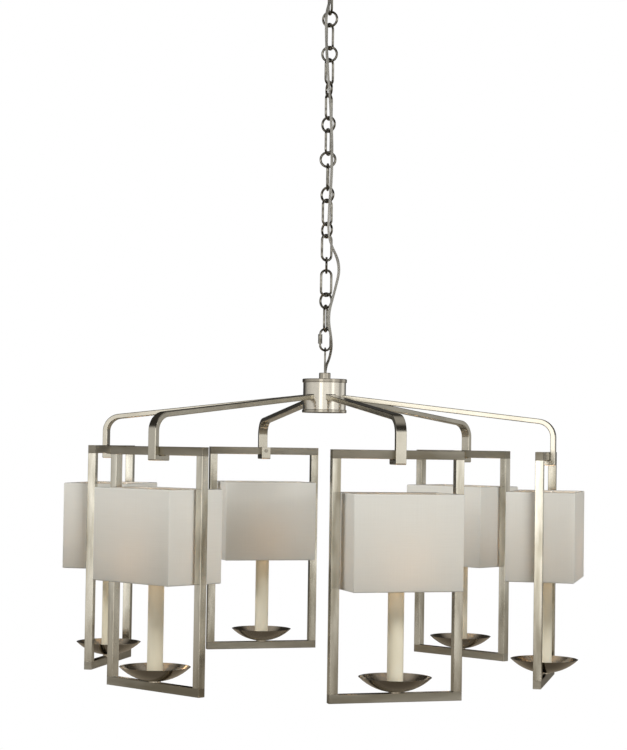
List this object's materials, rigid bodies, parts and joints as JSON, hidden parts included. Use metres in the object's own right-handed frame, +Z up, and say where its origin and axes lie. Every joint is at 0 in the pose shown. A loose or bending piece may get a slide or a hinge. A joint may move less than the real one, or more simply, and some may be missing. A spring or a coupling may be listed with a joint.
{
  "type": "multi arm chandelier",
  "caption": "Chain-hung chandelier: bent flat arms from a drum hub hook square-bar frames, each with a dish, candle sleeve, bulb and box fabric shade.",
  "frame": {"origin": "centre of the crossbar's two box screws, on the ceiling plane", "axes": "+Z up; the part hangs into -Z; -Y is the front, where arm_1 points; +X is along the crossbar"},
  "size_m": [0.7874, 0.815, 1.1713],
  "materials": {
    "nickel": "satin nickel plate",
    "dark_nickel": "polished nickel, dark reflections",
    "chain": "polished nickel plate",
    "steel": "zinc plated",
    "sleeve": "cream candle cover",
    "socket": "moulded",
    "lead": "insulated",
    "cord": "clear sheath over silver strands",
    "bulb": "frosted",
    "shade": "linen weave",
    "carrier": "white enamel"
  },
  "bodies": {
    "ceiling": {"ceiling_canopy": "nickel", "canopy_crossbar": "steel", "canopy_nipple": "steel", "canopy_nut": "steel", "swivel_base": "dark_nickel", "screw_collar": "dark_nickel", "bail_pins": "dark_nickel"},
    "bail": {"swivel_bail": "chain"},
    "fixture": {"chain_top_link": "chain", "chain_long_links": "chain", "chain_rings": "chain", "quick_link": "chain", "hub_eye": "chain", "hub_neck": "nickel", "hub_top_cap": "dark_nickel", "hub_bottom_cap": "dark_nickel", "hub_body": "nickel", "hub_plate": "steel", "hub_nipple": "steel", "hub_nuts": "steel", "arm_screws": "steel", "arm_1": "nickel", "arm_2": "nickel", "arm_3": "nickel", "arm_4": "nickel", "arm_5": "nickel", "arm_6": "nickel", "frame_1": "nickel", "frame_2": "nickel", "frame_3": "nickel", "frame_4": "nickel", "frame_5": "nickel", "frame_6": "nickel", "set_screws": "steel", "drip_dishes": "nickel", "candle_sleeves": "sleeve", "candle_nipples": "steel", "lamp_sockets": "socket", "lead_wires": "lead", "supply_cord": "cord"},
    "quick_sleeve": {"quick_link_sleeve": "chain"},
    "bulb_1": {"bulb_1": "bulb"},
    "bulb_2": {"bulb_2": "bulb"},
    "bulb_3": {"bulb_3": "bulb"},
    "bulb_4": {"bulb_4": "bulb"},
    "bulb_5": {"bulb_5": "bulb"},
    "bulb_6": {"bulb_6": "bulb"},
    "shade_1": {"shade_1": "shade", "shade_carrier_1": "carrier"},
    "shade_2": {"shade_2": "shade", "shade_carrier_2": "carrier"},
    "shade_3": {"shade_3": "shade", "shade_carrier_3": "carrier"},
    "shade_4": {"shade_4": "shade", "shade_carrier_4": "carrier"},
    "shade_5": {"shade_5": "shade", "shade_carrier_5": "carrier"},
    "shade_6": {"shade_6": "shade", "shade_carrier_6": "carrier"}
  },
  "joints": [
    {"name": "bail_swing", "type": "hinge", "parent": "ceiling", "child": "bail", "pos_m": [0, 0, -0.0495], "axis": [1, 0, 0], "range_deg": [-6, 6]},
    {"name": "chain_swing", "type": "hinge", "parent": "bail", "child": "fixture", "pos_m": [0, 0, -0.0764], "axis": [0, 1, 0], "range_deg": [-6, 6]},
    {"name": "sleeve_turn", "type": "hinge", "parent": "fixture", "child": "quick_sleeve", "pos_m": [-0.00814, 0.00133, -0.6422], "axis": [0, 0, 1], "continuous": true},
    {"name": "bulb_turn_1", "type": "hinge", "parent": "fixture", "child": "bulb_1", "pos_m": [0, -0.355, -1.00315], "axis": [0, 0, 1], "continuous": true},
    {"name": "bulb_turn_2", "type": "hinge", "parent": "fixture", "child": "bulb_2", "pos_m": [0.30744, -0.1775, -1.00315], "axis": [0, 0, 1], "continuous": true},
    {"name": "bulb_turn_3", "type": "hinge", "parent": "fixture", "child": "bulb_3", "pos_m": [0.30744, 0.1775, -1.00315], "axis": [0, 0, 1], "continuous": true},
    {"name": "bulb_turn_4", "type": "hinge", "parent": "fixture", "child": "bulb_4", "pos_m": [0, 0.355, -1.00315], "axis": [0, 0, 1], "continuous": true},
    {"name": "bulb_turn_5", "type": "hinge", "parent": "fixture", "child": "bulb_5", "pos_m": [-0.30744, 0.1775, -1.00315], "axis": [0, 0, 1], "continuous": true},
    {"name": "bulb_turn_6", "type": "hinge", "parent": "fixture", "child": "bulb_6", "pos_m": [-0.30744, -0.1775, -1.00315], "axis": [0, 0, 1], "continuous": true},
    {"name": "shade_lift_1", "type": "slide", "parent": "fixture", "child": "shade_1", "axis": [0, 0, 1], "range_m": [0, 0.036]},
    {"name": "shade_lift_2", "type": "slide", "parent": "fixture", "child": "shade_2", "axis": [0, 0, 1], "range_m": [0, 0.036]},
    {"name": "shade_lift_3", "type": "slide", "parent": "fixture", "child": "shade_3", "axis": [0, 0, 1], "range_m": [0, 0.036]},
    {"name": "shade_lift_4", "type": "slide", "parent": "fixture", "child": "shade_4", "axis": [0, 0, 1], "range_m": [0, 0.036]},
    {"name": "shade_lift_5", "type": "slide", "parent": "fixture", "child": "shade_5", "axis": [0, 0, 1], "range_m": [0, 0.036]},
    {"name": "shade_lift_6", "type": "slide", "parent": "fixture", "child": "shade_6", "axis": [0, 0, 1], "range_m": [0, 0.036]}
  ]
}
